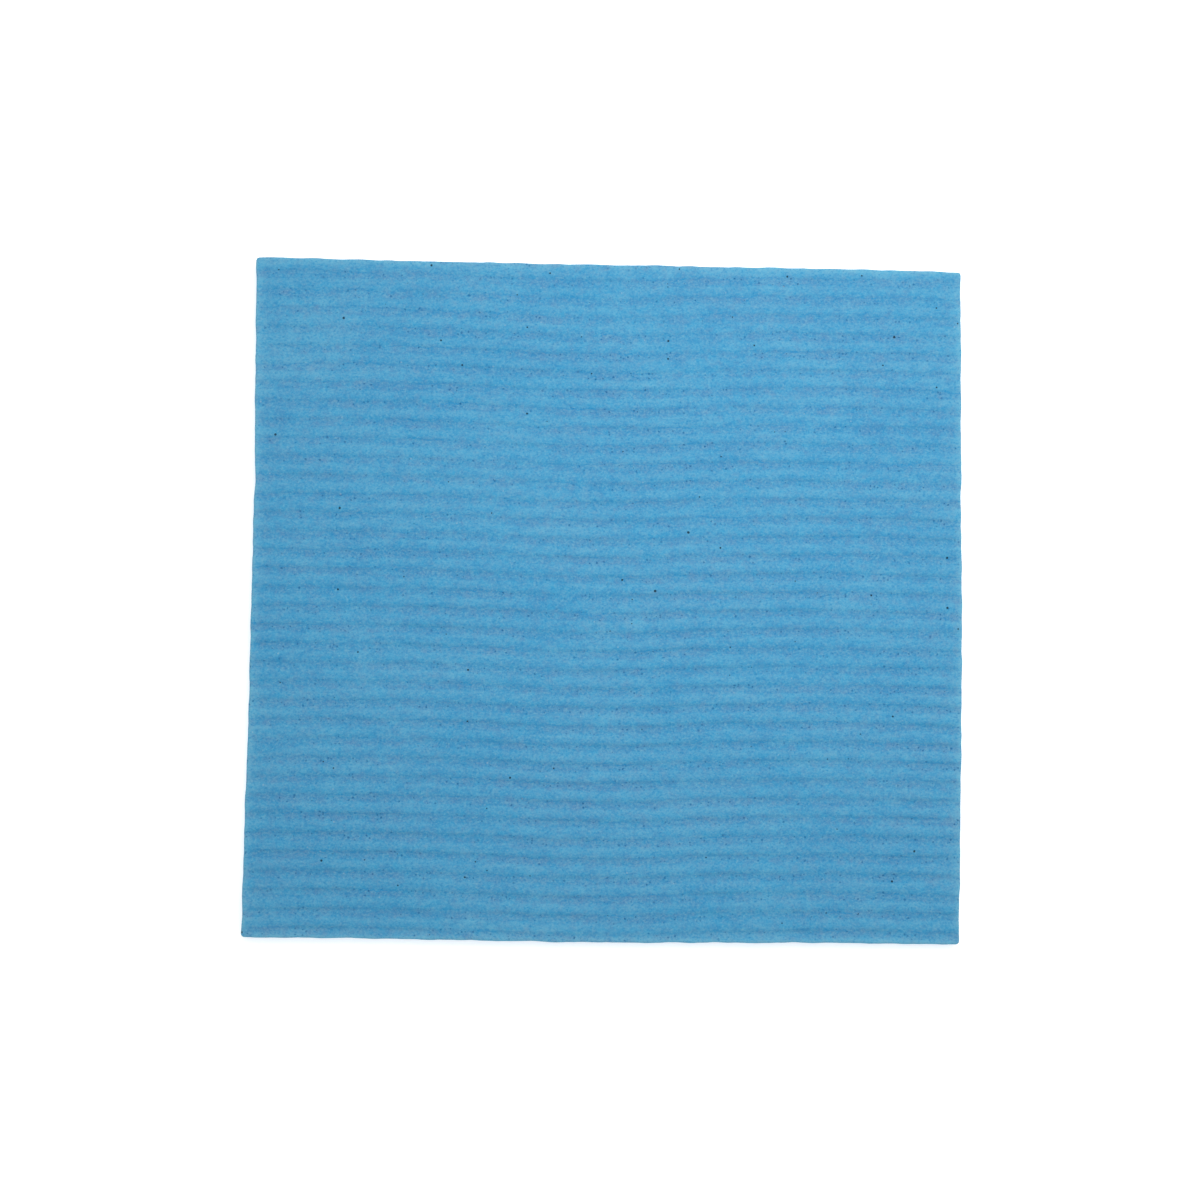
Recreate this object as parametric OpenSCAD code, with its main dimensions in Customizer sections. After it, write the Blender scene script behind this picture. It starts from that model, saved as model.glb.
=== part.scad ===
// Ribbed sponge cloth: one flat sheet of cellulose sponge, lying with its
// plain side down. X runs along the ribs, Y across them, Z up through the
// thickness. The origin is the middle of the underside.

/* [Sheet] */
// Width of the sheet, along the ribs
cloth_w = 190; // [120:1:320]
// Length of the sheet, across the ribs
cloth_l = 181; // [120:1:320]
// Thickness, from the underside to the top of the ribs
cloth_t = 5; // [3.5:0.1:8]

/* [Ribs] */
// Distance from one rib to the next
rib_pitch = 5; // [4:0.1:8]
// Width of a rib's rounded crest, where it turns into the groove's curve
crest_w = 2.8; // [1.6:0.1:3]
// Depth of the grooves between the ribs
rib_h = 0.6; // [0.3:0.05:1]
// Crest of the middle rib, behind (+) or in front of (-) the sheet's middle
rib_shift = -2.3; // [-2.5:0.1:2.5]
// How far the ribs hang towards the front in the middle of the width
rib_sag = 1.5; // [0.5:0.1:4]

/* [Cut edges] */
// Radius of the four corners
corner_r = 1.2; // [0.5:0.1:10]
// How far the left edge is hollowed in the middle
left_hollow = 0.8; // [0.2:0.1:3]
// How far the right edge swells in the middle
right_swell = 0.5; // [0.2:0.1:3]
// How far the front edge swells in the middle
front_swell = 0.4; // [0.2:0.1:3]

/* [Hidden] */

// Rib section: a crest arc that turns into a groove arc at the join's height.
// The groove is eased open a little, so that the arcs cross in one clean edge.
groove_ease = 0.1;
half_pitch = rib_pitch / 2;
arcs_r = (half_pitch ^ 2 + rib_h ^ 2) / (2 * rib_h);
crest_r = arcs_r * (crest_w / 2) / half_pitch;
groove_r = arcs_r - crest_r + groove_ease;
crest_z = cloth_t - crest_r;
groove_z = cloth_t - rib_h + groove_r;
join_z = crest_z + sqrt(crest_r ^ 2 - (crest_w / 2) ^ 2);

// The web that the sheet is cut from: its ribs are arcs about one far centre
trim = 4;
web_l = cloth_l + 2 * (rib_sag + trim);
web_w = cloth_w + 2 * trim;
sag_r = arc_radius(cloth_w, rib_sag);
web_turn = 2 * asin(web_w / 2 / (sag_r - web_l / 2));
ribs_each_way = ceil((web_l / 2 + abs(rib_shift)) / rib_pitch);

arc_fn = 64;
long_arc_fn = 2400;
overcut = 1;

// Radius of an arc from its chord and its rise in the middle
function arc_radius(chord, rise) = (chord ^ 2 / 4 + rise ^ 2) / (2 * rise);

// Crest of rib number i, counted from the middle rib towards the front
function rib_place(i) = i * rib_pitch - rib_shift;

// Section across the web, from its back (-x) to its front (+x)
module web_section() {
    difference() {
        union() {
            translate([-web_l / 2, 0]) square([web_l, join_z]);
            for (i = [-ribs_each_way : ribs_each_way]) crest(rib_place(i));
        }
        for (i = [-ribs_each_way : ribs_each_way + 1]) groove(rib_place(i) - half_pitch);
    }
}

// Upper part of one rib, above the join with its grooves
module crest(place) {
    intersection() {
        translate([place, crest_z]) circle(r = crest_r, $fn = arc_fn);
        translate([place - crest_w / 2, join_z - overcut])
            square([crest_w, rib_h + 2 * overcut]);
    }
}

// Hollow of one groove
module groove(place) {
    translate([place, groove_z]) circle(r = groove_r, $fn = arc_fn);
}

// Long web with ribs on its upper face
module web() {
    translate([0, sag_r, 0])
        rotate([0, 0, -90 - web_turn / 2])
            rotate_extrude(angle = web_turn, $fn = long_arc_fn)
                translate([sag_r, 0]) web_section();
}

// Outline of the cut sheet, seen from above
module cut_outline() {
    difference() {
        intersection() {
            rounded_blank();
            swell_disc(cloth_l, right_swell, cloth_w / 2, 0);
            swell_disc(cloth_w, front_swell, cloth_l / 2, -90);
        }
        hollow_disc();
    }
}

// Rectangle with round corners, as large as the sheet
module rounded_blank() {
    square([cloth_w - 2 * corner_r, cloth_l], center = true);
    square([cloth_w, cloth_l - 2 * corner_r], center = true);
    for (x = [-1, 1], y = [-1, 1])
        translate([x * (cloth_w / 2 - corner_r), y * (cloth_l / 2 - corner_r)])
            circle(r = corner_r, $fn = arc_fn);
}

// Large disc whose rim is a swollen edge, at a distance out in a direction
module swell_disc(edge, rise, reach, turn) {
    r = arc_radius(edge, rise);
    rotate([0, 0, turn]) translate([reach - r, 0]) circle(r = r, $fn = long_arc_fn);
}

// Large disc whose rim hollows the left edge
module hollow_disc() {
    r = arc_radius(cloth_l, left_hollow);
    translate([left_hollow - cloth_w / 2 - r, 0]) circle(r = r, $fn = long_arc_fn);
}

// The sheet: the web cut to the outline
module sponge_cloth() {
    color("steelblue")
        intersection() {
            web();
            translate([0, 0, -overcut])
                linear_extrude(height = cloth_t + 2 * overcut) cut_outline();
        }
}

sponge_cloth();
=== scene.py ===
"""A ribbed sponge cloth: one sheet of blue cellulose sponge, lying on a pale floor.

The sheet is cut from a web that was cast with ribs on its upper face. Its blank is a
closed shell made here point by point. Geometry nodes raise the ribs on it, let them
wander as cast ribs do, and let the cut wobble. The finish is one dyed cellulose, seen
as smooth crests, porous grooves and open cut walls. Its colour also holds painted
shade in the grooves, in the pores and along the ribs' feet, and a painted highlight
on the ribs' back flanks.
"""

import logging
import math
from collections.abc import Iterable, Sequence
from dataclasses import dataclass, field
from enum import Enum

import bpy
import numpy as np
from mathutils import Matrix, Vector


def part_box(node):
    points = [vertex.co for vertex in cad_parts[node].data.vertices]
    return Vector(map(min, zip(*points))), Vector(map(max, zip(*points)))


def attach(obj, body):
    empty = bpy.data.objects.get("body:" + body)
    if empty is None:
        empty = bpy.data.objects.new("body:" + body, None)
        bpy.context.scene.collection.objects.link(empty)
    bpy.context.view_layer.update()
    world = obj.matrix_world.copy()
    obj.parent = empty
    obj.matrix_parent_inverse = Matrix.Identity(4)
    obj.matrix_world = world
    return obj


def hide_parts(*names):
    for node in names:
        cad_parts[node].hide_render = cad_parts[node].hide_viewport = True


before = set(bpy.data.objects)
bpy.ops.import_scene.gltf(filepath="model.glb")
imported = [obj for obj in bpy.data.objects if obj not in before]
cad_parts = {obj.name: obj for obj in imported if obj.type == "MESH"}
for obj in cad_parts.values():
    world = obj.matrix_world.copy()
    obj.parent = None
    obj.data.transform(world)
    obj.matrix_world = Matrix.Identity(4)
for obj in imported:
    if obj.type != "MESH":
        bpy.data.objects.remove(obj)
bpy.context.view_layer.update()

MM = 0.001
LOG = logging.getLogger("sponge_cloth")

Tree = bpy.types.NodeTree
Socket = bpy.types.NodeSocket
Feed = Socket | float | int | str | tuple
Range = tuple[float, float]
Point2 = tuple[float, float]
Point3 = tuple[float, float, float]

# Settings of the math nodes that both the ribs and the finish are worked out with.
PLUS = {"operation": "ADD"}
MINUS = {"operation": "SUBTRACT"}
TIMES = {"operation": "MULTIPLY"}
TIMES_PLUS = {"operation": "MULTIPLY_ADD"}
OVER = {"operation": "DIVIDE"}
FRACTION = {"operation": "FRACT"}
LARGER = {"operation": "MAXIMUM"}


class Layer(str, Enum):
    """Values that the mesh carries at its points, for the ribs and the finish."""

    # Ribs counted across the sheet: whole numbers are crests, halves are grooves.
    RIB_TURN = "rib_turn"
    # Millimetres to the nearest cut, before the cuts are bowed.
    CUT_REACH = "cut_reach"
    # How far up the thickness a point is: 1 on the ribbed face, 0 on the underside.
    RIBBED_FACE = "ribbed_face"
    # 1 on a cut wall, 0 elsewhere.
    CUT_WALL = "cut_wall"


class Side(Enum):
    """Sides of the sheet, in the order in which its rim runs round it."""

    FRONT = 0
    RIGHT = 1
    BACK = 2
    LEFT = 3


def linear(hex_colour: str) -> tuple[float, float, float, float]:
    """Turns an sRGB hex colour into Blender's linear colour, by the sRGB standard's curve.

    Args:
        hex_colour: Six hex digits, with or without a leading #.

    Returns:
        Linear red, green and blue, with an alpha of 1.
    """
    digits = hex_colour.lstrip("#")
    parts = [int(digits[i : i + 2], 16) / 255 for i in (0, 2, 4)]
    red, green, blue = (
        part / 12.92 if part <= 0.04045 else ((part + 0.055) / 1.055) ** 2.4
        for part in parts
    )
    return red, green, blue, 1.0


def add(
    tree: Tree,
    kind: str,
    settings: dict[str, object] | None = None,
    feeds: dict[str | int, Feed] | None = None,
) -> bpy.types.Node:
    """Adds a node with its settings, and feeds its inputs.

    Args:
        tree: The tree that gets the node.
        kind: The node's identifier in Blender.
        settings: Names and values of the node's own settings.
        feeds: Input names or numbers, each with a value or another node's output.

    Returns:
        The new node.
    """
    node = tree.nodes.new(kind)
    for name, value in (settings or {}).items():
        setattr(node, name, value)
    for key, feed in (feeds or {}).items():
        if isinstance(feed, bpy.types.NodeSocket):
            tree.links.new(feed, node.inputs[key])
        else:
            node.inputs[key].default_value = feed
    return node


def shape_curve(node: bpy.types.Node, points: Sequence[Point2]) -> None:
    """Gives a float curve node its points, from left to right.

    Args:
        node: The float curve node.
        points: Places and heights, each from 0 to 1.
    """
    curve = node.mapping.curves[0]
    while len(curve.points) < len(points):
        curve.points.new(0.5, 0.5)
    for knot, (place, height) in zip(curve.points, sorted(points)):
        knot.location = (place, height)
        knot.handle_type = "AUTO"
    node.mapping.update()


def cleared(owner: bpy.types.Material | bpy.types.World) -> Tree:
    """Turns on the nodes of a material or a world, and empties its tree.

    Args:
        owner: The material or world.

    Returns:
        Its tree, with no nodes in it.
    """
    owner.use_nodes = True
    owner.node_tree.nodes.clear()
    return owner.node_tree


@dataclass(frozen=True)
class Outline:
    """The cut edge of the sheet, seen from above.

    The insets say how far a cut runs inside the sheet's box, in millimetres, at even
    steps along its side.

    Args:
        width: The box along the ribs, in metres.
        length: The box across the ribs, in metres.
        corner: The radius of the corners, in metres.
        front: Insets of the front cut, from left to right.
        right: Insets of the right cut, from front to back.
        back: Insets of the back cut, from left to right.
        left: Insets of the left cut, from front to back.
    """

    width: float
    length: float
    corner: float = 1.0 * MM
    front: tuple[float, ...] = (0.4, 0.45, 0.2, 0.0, 0.25, 0.5, 0.35)
    right: tuple[float, ...] = (0.55, 0.35, 0.0, 0.0, 0.2, 0.35, 0.5)
    back: tuple[float, ...] = (0.0, 0.1, 0.2, 0.2, 0.05, 0.0, 0.2)
    left: tuple[float, ...] = (0.1, 0.25, 0.7, 0.7, 0.9, 0.3, 0.0)

    def bowed(self, x: np.ndarray, y: np.ndarray) -> tuple[np.ndarray, np.ndarray]:
        """Moves points of the plain rectangle to the bowed, round-cornered outline.

        Args:
            x: Places along the ribs.
            y: Places across the ribs.

        Returns:
            The moved x and y.
        """
        x, y = self._rounded(x, y)
        along, across = x / self.width + 0.5, y / self.length + 0.5
        left = -self.width / 2 + self._inset(self.left, across)
        right = self.width / 2 - self._inset(self.right, across)
        front = -self.length / 2 + self._inset(self.front, along)
        back = self.length / 2 - self._inset(self.back, along)
        return left + along * (right - left), front + across * (back - front)

    @staticmethod
    def _inset(knots: tuple[float, ...], share: np.ndarray) -> np.ndarray:
        """Finds how far a cut runs inside the box, easing from each knot to the next.

        Args:
            knots: The insets in millimetres, at even steps along the side.
            share: Places along the side, from 0 to 1.

        Returns:
            The insets there, in metres.
        """
        step = np.clip(share, 0, 1) * (len(knots) - 1)
        before = np.minimum(step.astype(int), len(knots) - 2)
        ease = (1 - np.cos(math.pi * (step - before))) / 2
        values = np.array(knots)
        return ((1 - ease) * values[before] + ease * values[before + 1]) * MM

    def _rounded(self, x: np.ndarray, y: np.ndarray) -> tuple[np.ndarray, np.ndarray]:
        """Rounds the rectangle's corners, by laying each corner square on a quarter disc.

        Args:
            x: Places along the ribs.
            y: Places across the ribs.

        Returns:
            The moved x and y.
        """
        core_x, core_y = self.width / 2 - self.corner, self.length / 2 - self.corner
        a = np.clip((np.abs(x) - core_x) / self.corner, 0, 1)
        b = np.clip((np.abs(y) - core_y) / self.corner, 0, 1)
        round_x = core_x + self.corner * a * np.sqrt(1 - b**2 / 2)
        round_y = core_y + self.corner * b * np.sqrt(1 - a**2 / 2)
        inside = (a > 0) & (b > 0)
        return (
            np.where(inside, np.sign(x) * round_x, x),
            np.where(inside, np.sign(y) * round_y, y),
        )


@dataclass
class Blank:
    """The closed shell of the cut sheet, before its ribs are raised.

    Args:
        outline: The sheet's cut edge.
        thickness: Its thickness, in metres.
        columns: Cells of the upper face along the ribs.
        rows: Cells of the upper face across the ribs.
        coarse: How many of those cells one cell of the underside spans.
        edge_steps: Grid lines beside each cut, in millimetres from it.
        rim: The radius with which the upper face rolls over to the walls.
        foot: How far the walls turn in at the underside.
        foot_bend: The inset and height of the bend above the foot, as a share of it.
        wall_levels: Heights of the walls' rings, as shares of the straight wall.
        top_map: From where to where the upper face goes up the bake map.
        wall_map: The same for the walls.
        under_map: The same for the underside.
        map_edge: The bake map's margin at the left and right.
        strip_fill: The share of its quarter of the bake map that a side's wall fills.
    """

    outline: Outline
    thickness: float
    columns: int = 212
    rows: int = 392
    coarse: int = 4
    edge_steps: tuple[float, ...] = (0.0, 0.1, 0.25, 0.48, 0.8, 1.25, 1.9)
    rim: float = 0.6 * MM
    foot: float = 0.3 * MM
    foot_bend: float = 0.3
    wall_levels: tuple[float, ...] = (0.94, 0.75, 0.5, 0.25)
    top_map: Range = (0.262, 0.998)
    wall_map: Range = (0.228, 0.256)
    under_map: Range = (0.002, 0.222)
    map_edge: float = 0.002
    strip_fill: float = 0.98

    _points: list[np.ndarray] = field(default_factory=list)
    _faces: list[tuple[int, ...]] = field(default_factory=list)
    _maps: list[tuple[Point2, ...]] = field(default_factory=list)

    def mesh(self) -> bpy.types.Mesh:
        """Builds the shell: the upper grid, the rim and walls, and a coarser underside.

        Returns:
            A mesh with the layers for the ribs and finish, and its bake map.
        """
        self._points, self._faces, self._maps = [], [], []
        xs = self._graded(self.outline.width / 2, self.columns)
        ys = self._graded(self.outline.length / 2, self.rows)
        top = self._upper_face(xs, ys)
        rim = self._rim_loop()
        last = self._walls(xs, ys, top[rim[:, 1], rim[:, 0]], rim)
        self._underside(xs, ys, last, rim)
        mesh = bpy.data.meshes.new("sponge_cloth_sheet")
        places = np.concatenate(self._points)
        mesh.from_pydata(places[:, :3].tolist(), [], self._faces)
        for column, layer in enumerate((Layer.CUT_REACH, Layer.CUT_WALL), start=3):
            values = mesh.attributes.new(layer.value, "FLOAT", "POINT")
            values.data.foreach_set("value", places[:, column].astype(np.float32))
        bake_map = mesh.uv_layers.new(name="OFBake")
        flat = [value for corners in self._maps for corner in corners for value in corner]
        bake_map.uv.foreach_set("vector", np.array(flat, np.float32))
        mesh.polygons.foreach_set("use_smooth", np.ones(len(mesh.polygons), bool))
        mesh.update()
        return mesh

    def _graded(self, half: float, cells: int) -> np.ndarray:
        """Spaces grid lines across the sheet, close together at both cut edges.

        Args:
            half: Half the distance that the lines span.
            cells: The number of gaps between lines.

        Returns:
            The places of the lines, from -half to half.
        """
        steps = np.array(self.edge_steps) * MM
        even_lines = cells + 1 - 2 * (len(steps) - 1)
        inner = np.linspace(-half + steps[-1], half - steps[-1], even_lines)
        return np.concatenate([-half + steps[:-1], inner, half - steps[-2::-1]])

    def _store(self, x: np.ndarray, y: np.ndarray, z: np.ndarray, wall: float) -> np.ndarray:
        """Adds points of the plain rectangle, moved to the cut outline, with their layers.

        Args:
            x: Places along the ribs.
            y: Places across the ribs.
            z: Heights over the floor.
            wall: 1 for points of a cut wall, and 0 for others.

        Returns:
            The points' numbers.
        """
        start = sum(len(points) for points in self._points)
        reach = np.minimum(
            self.outline.width / 2 - np.abs(x), self.outline.length / 2 - np.abs(y)
        )
        bowed_x, bowed_y = self.outline.bowed(x, y)
        walls = np.full(x.shape, wall)
        self._points.append(np.stack([bowed_x, bowed_y, z, reach / MM, walls], 1))
        return np.arange(start, start + len(x))

    def _face(self, loop: Iterable[int], corners: Iterable[Point2]) -> None:
        """Adds a face by its points' numbers, with its corners on the bake map."""
        self._faces.append(tuple(int(number) for number in loop))
        self._maps.append(tuple(corners))

    def _upper_face(self, xs: np.ndarray, ys: np.ndarray) -> np.ndarray:
        """Adds the ribbed face's grid, rolled over at the rim.

        Args:
            xs: The grid's columns.
            ys: The grid's rows.

        Returns:
            The numbers of its points, by row and column.
        """
        x, y = (grid.ravel() for grid in np.meshgrid(xs, ys))
        reach = np.minimum(xs[-1] - np.abs(x), ys[-1] - np.abs(y))
        inward = np.clip(self.rim - reach, 0, None)
        z = self.thickness - self.rim + np.sqrt(self.rim**2 - inward**2)
        grid = self._store(x, y, z, 0.0).reshape(len(ys), len(xs))
        across = (ys - ys[0]) / (ys[-1] - ys[0])
        v = self.top_map[0] + across * (self.top_map[1] - self.top_map[0])
        u = self.map_edge + (xs - xs[0]) / (xs[-1] - xs[0]) * (1 - 2 * self.map_edge)
        for j in range(len(ys) - 1):
            for i in range(len(xs) - 1):
                cell = ((i, j), (i + 1, j), (i + 1, j + 1), (i, j + 1))
                self._face((grid[b, a] for a, b in cell), ((u[a], v[b]) for a, b in cell))
        return grid

    def _rim_loop(self) -> np.ndarray:
        """Lists the grid's border, anticlockwise from the front left.

        Returns:
            The column and the row of each point of the border.
        """
        nx, ny = self.columns, self.rows
        front = [(i, 0) for i in range(nx)]
        right = [(nx, j) for j in range(ny)]
        back = [(i, ny) for i in range(nx, 0, -1)]
        left = [(0, j) for j in range(ny, 0, -1)]
        return np.array(front + right + back + left)

    def _walls(
        self, xs: np.ndarray, ys: np.ndarray, ring: np.ndarray, rim: np.ndarray
    ) -> np.ndarray:
        """Adds the cut walls below a ring of the upper face's border points.

        Args:
            xs: The grid's columns.
            ys: The grid's rows.
            ring: Numbers of the border's points, in the rim's order.
            rim: The border as (column, row).

        Returns:
            Numbers of the lowest ring, where the walls meet the underside.
        """
        x, y = xs[rim[:, 0]], ys[rim[:, 1]]
        wall_top = self.thickness - self.rim
        bend = self.foot_bend * self.foot
        rings = [(0.0, wall_top * level) for level in self.wall_levels]
        rings += [(bend, bend), (self.foot, 0.0)]
        upper, step = ring, 1 / len(rings)
        for number, (inset, height) in enumerate(rings):
            shrink_x = 1 - inset / xs[-1]
            shrink_y = 1 - inset / ys[-1]
            lower = self._store(x * shrink_x, y * shrink_y, np.full(len(x), height), 1.0)
            self._band(upper, lower, 1 - number * step, 1 - (number + 1) * step)
            upper = lower
        return upper

    def _band(self, upper: np.ndarray, lower: np.ndarray, high: float, low: float) -> None:
        """Joins two rings by a band of faces, with each side's strip of the bake map.

        Args:
            upper: Numbers of the upper ring's points.
            lower: Numbers of the lower ring's points.
            high: How far up the walls' part of the bake map the upper ring is.
            low: How far up it the lower ring is.
        """
        starts = np.cumsum([0, self.columns, self.rows, self.columns, self.rows])
        strip = (1 - 2 * self.map_edge) / len(Side)
        v_low, v_high = (
            self.wall_map[0] + share * (self.wall_map[1] - self.wall_map[0])
            for share in (low, high)
        )
        for side in Side:
            first, stop = starts[side.value], starts[side.value + 1]
            for k in range(first, stop):
                after = (k + 1) % len(upper)
                u0, u1 = (
                    self.map_edge
                    + strip * (side.value + self.strip_fill * (m - first) / (stop - first))
                    for m in (k, k + 1)
                )
                self._face(
                    (upper[k], lower[k], lower[after], upper[after]),
                    ((u0, v_high), (u0, v_low), (u1, v_low), (u1, v_high)),
                )

    def _underside(
        self, xs: np.ndarray, ys: np.ndarray, ring: np.ndarray, rim: np.ndarray
    ) -> None:
        """Closes the shell with a coarse plain face, whose outer cells take in the rim.

        Args:
            xs: The grid's columns.
            ys: The grid's rows.
            ring: Numbers of the walls' lowest ring.
            rim: The border as (column, row).
        """
        step, nx, ny = self.coarse, self.columns, self.rows
        number = {(int(i), int(j)): int(n) for (i, j), n in zip(rim, ring)}
        inner = [(i, j) for j in range(step, ny, step) for i in range(step, nx, step)]
        columns, rows = np.array(inner).T
        added = self._store(xs[columns], ys[rows], np.zeros(len(inner)), 0.0)
        number.update({cell: int(n) for cell, n in zip(inner, added)})
        wide = 1 - 2 * self.map_edge
        low, high = self.under_map
        for j in range(0, ny, step):
            for i in range(0, nx, step):
                loop = [cell for cell in self._cell_loop(i, j) if cell in number][::-1]
                corners = (
                    (self.map_edge + a / nx * wide, low + b / ny * (high - low))
                    for a, b in loop
                )
                self._face((number[cell] for cell in loop), corners)

    def _cell_loop(self, i: int, j: int) -> list[tuple[int, int]]:
        """Lists the fine grid's points round one coarse cell, anticlockwise.

        Args:
            i: The column of the cell's front left point.
            j: That point's row.

        Returns:
            The column and the row of each point.
        """
        n = self.coarse
        front = [(i + k, j) for k in range(n)]
        right = [(i + n, j + k) for k in range(n)]
        back = [(i + n - k, j + n) for k in range(n)]
        left = [(i, j + n - k) for k in range(n)]
        return front + right + back + left


@dataclass(frozen=True)
class CastRibs:
    """Geometry nodes that raise the ribs on a blank and let the sheet lie as it was cut.

    Args:
        width: The sheet's box along the ribs.
        thickness: The sheet's thickness over the ribs.
        pitch: The distance from rib to rib.
        shift: How far behind the sheet's middle one crest runs, before it sags. A minus
            puts it in front.
        depth: The grooves' usual depth.
        sag: How far a rib's course bends over the width.
        wander: How far a rib strays from that course.
        stray_size: Over what distance it strays, along the ribs and across them.
        patch_size: How far apart the high and low stretches of rib are.
        patch_noise: The noise values at which a stretch is lowest and highest.
        patch_depth: The depths of the lowest and highest stretch, as shares of the usual
            depth.
        press_mm: How far in from the cut the knife presses the ribs down.
        press_least: The share of the depth that is left at the cut.
        lumps: The height of the skin's lumps.
        lump_size: How far apart they are.
        ripple: How far the sheet lifts off the floor at most, where it ripples.
        ripple_size: How far apart its ripples are.
        ripple_noise: The noise values at which it starts to lift and is highest.
        cut_wobble: How wide the knife's wobble is.
        wobble_size: How far apart its wobbles are.
        wobble_mm: How far in from the cut the wobble moves the sheet.
        seed: The place in the noise that all of these share.
        section: Rib height round one pitch, from the groove's middle to the next, with
            the front side first.
        path: How far a rib runs behind its foremost place, from the left edge to the
            right, as a share of the sag.
    """

    width: float
    thickness: float
    pitch: float = 4.983 * MM
    shift: float = -2.35 * MM
    depth: float = 0.45 * MM
    sag: float = 2.0 * MM
    wander: float = 1.2 * MM
    stray_size: tuple[float, float] = (26 * MM, 9 * MM)
    patch_size: float = 14 * MM
    patch_noise: Range = (0.3, 0.7)
    patch_depth: Range = (0.35, 1.3)
    press_mm: float = 2.6
    press_least: float = 0.35
    lumps: float = 0.16 * MM
    lump_size: float = 3.2 * MM
    ripple: float = 0.5 * MM
    ripple_size: float = 85 * MM
    ripple_noise: Range = (0.35, 0.8)
    cut_wobble: float = 0.8 * MM
    wobble_size: float = 6 * MM
    wobble_mm: float = 2.0
    seed: float = 7.0
    section: tuple[Point2, ...] = (
        (0.0, 0.05),
        (0.08, 0.06),
        (0.15, 0.14),
        (0.22, 0.50),
        (0.30, 0.88),
        (0.40, 1.0),
        (0.50, 0.98),
        (0.60, 0.88),
        (0.70, 0.66),
        (0.78, 0.36),
        (0.86, 0.12),
        (0.93, 0.04),
        (1.0, 0.05),
    )
    path: tuple[Point2, ...] = (
        (0.0, 0.45),
        (0.16, 0.62),
        (0.32, 0.40),
        (0.48, 0.0),
        (0.63, 0.53),
        (0.82, 0.88),
        (1.0, 0.70),
    )

    def raised(self, blank: bpy.types.Object, finish: bpy.types.Material) -> bpy.types.Mesh:
        """Runs the tree on a blank.

        Args:
            blank: The object that holds the blank's mesh.
            finish: The material that the sheet gets.

        Returns:
            The ribbed sheet as a plain mesh. The blank keeps no modifier.
        """
        tree = self.tree()
        modifier = blank.modifiers.new("cast_ribs", "NODES")
        modifier.node_group = tree
        values = {**self.sizes(), "Finish": finish}
        for item in tree.interface.items_tree:
            if item.name in values:
                modifier[item.identifier] = values[item.name]
        depsgraph = bpy.context.evaluated_depsgraph_get()
        mesh = bpy.data.meshes.new_from_object(blank.evaluated_get(depsgraph))
        blank.modifiers.clear()
        return mesh

    def sizes(self) -> dict[str, float]:
        """Names the tree's inputs for sizes.

        Returns:
            The value that each input gets.
        """
        return {
            "Width": self.width,
            "Thickness": self.thickness,
            "Pitch": self.pitch,
            "Shift": self.shift,
            "Depth": self.depth,
            "Sag": self.sag,
            "Wander": self.wander,
            "Lumps": self.lumps,
            "Ripple": self.ripple,
            "Cut Wobble": self.cut_wobble,
            "Seed": self.seed,
        }

    def tree(self) -> bpy.types.GeometryNodeTree:
        """Builds the node tree, with a named input for each size.

        Returns:
            The tree, which takes a blank and gives the ribbed sheet.
        """
        tree = bpy.data.node_groups.new("cast_ribs", "GeometryNodeTree")
        face = tree.interface
        face.new_socket(name="Blank", in_out="INPUT", socket_type="NodeSocketGeometry")
        for name in self.sizes():
            face.new_socket(name=name, in_out="INPUT", socket_type="NodeSocketFloat")
        face.new_socket(name="Finish", in_out="INPUT", socket_type="NodeSocketMaterial")
        face.new_socket(name="Sheet", in_out="OUTPUT", socket_type="NodeSocketGeometry")
        given = add(tree, "NodeGroupInput").outputs
        place = add(tree, "GeometryNodeInputPosition").outputs[0]
        axes = add(tree, "ShaderNodeSeparateXYZ", feeds={0: place}).outputs
        turn = self._turn(tree, given, place, axes)
        weight = add(
            tree,
            "ShaderNodeMath",
            {**OVER, "use_clamp": True},
            {0: axes[2], 1: given["Thickness"]},
        ).outputs[0]
        ribs = self._rib_drop(tree, given, place, turn, weight)
        moved = self._moves(tree, given, place, ribs, weight)
        sheet = add(
            tree, "GeometryNodeSetPosition", feeds={"Geometry": given["Blank"], "Offset": moved}
        ).outputs[0]
        for layer, value in ((Layer.RIB_TURN, turn), (Layer.RIBBED_FACE, weight)):
            sheet = add(
                tree,
                "GeometryNodeStoreNamedAttribute",
                {"data_type": "FLOAT", "domain": "POINT"},
                {"Geometry": sheet, "Name": layer.value, "Value": value},
            ).outputs[0]
        real = add(tree, "GeometryNodeRealizeInstances", feeds={"Geometry": sheet}).outputs[0]
        dressed = add(
            tree,
            "GeometryNodeSetMaterial",
            feeds={"Geometry": real, "Material": given["Finish"]},
        ).outputs[0]
        add(tree, "NodeGroupOutput", feeds={"Sheet": dressed})
        return tree

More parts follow.
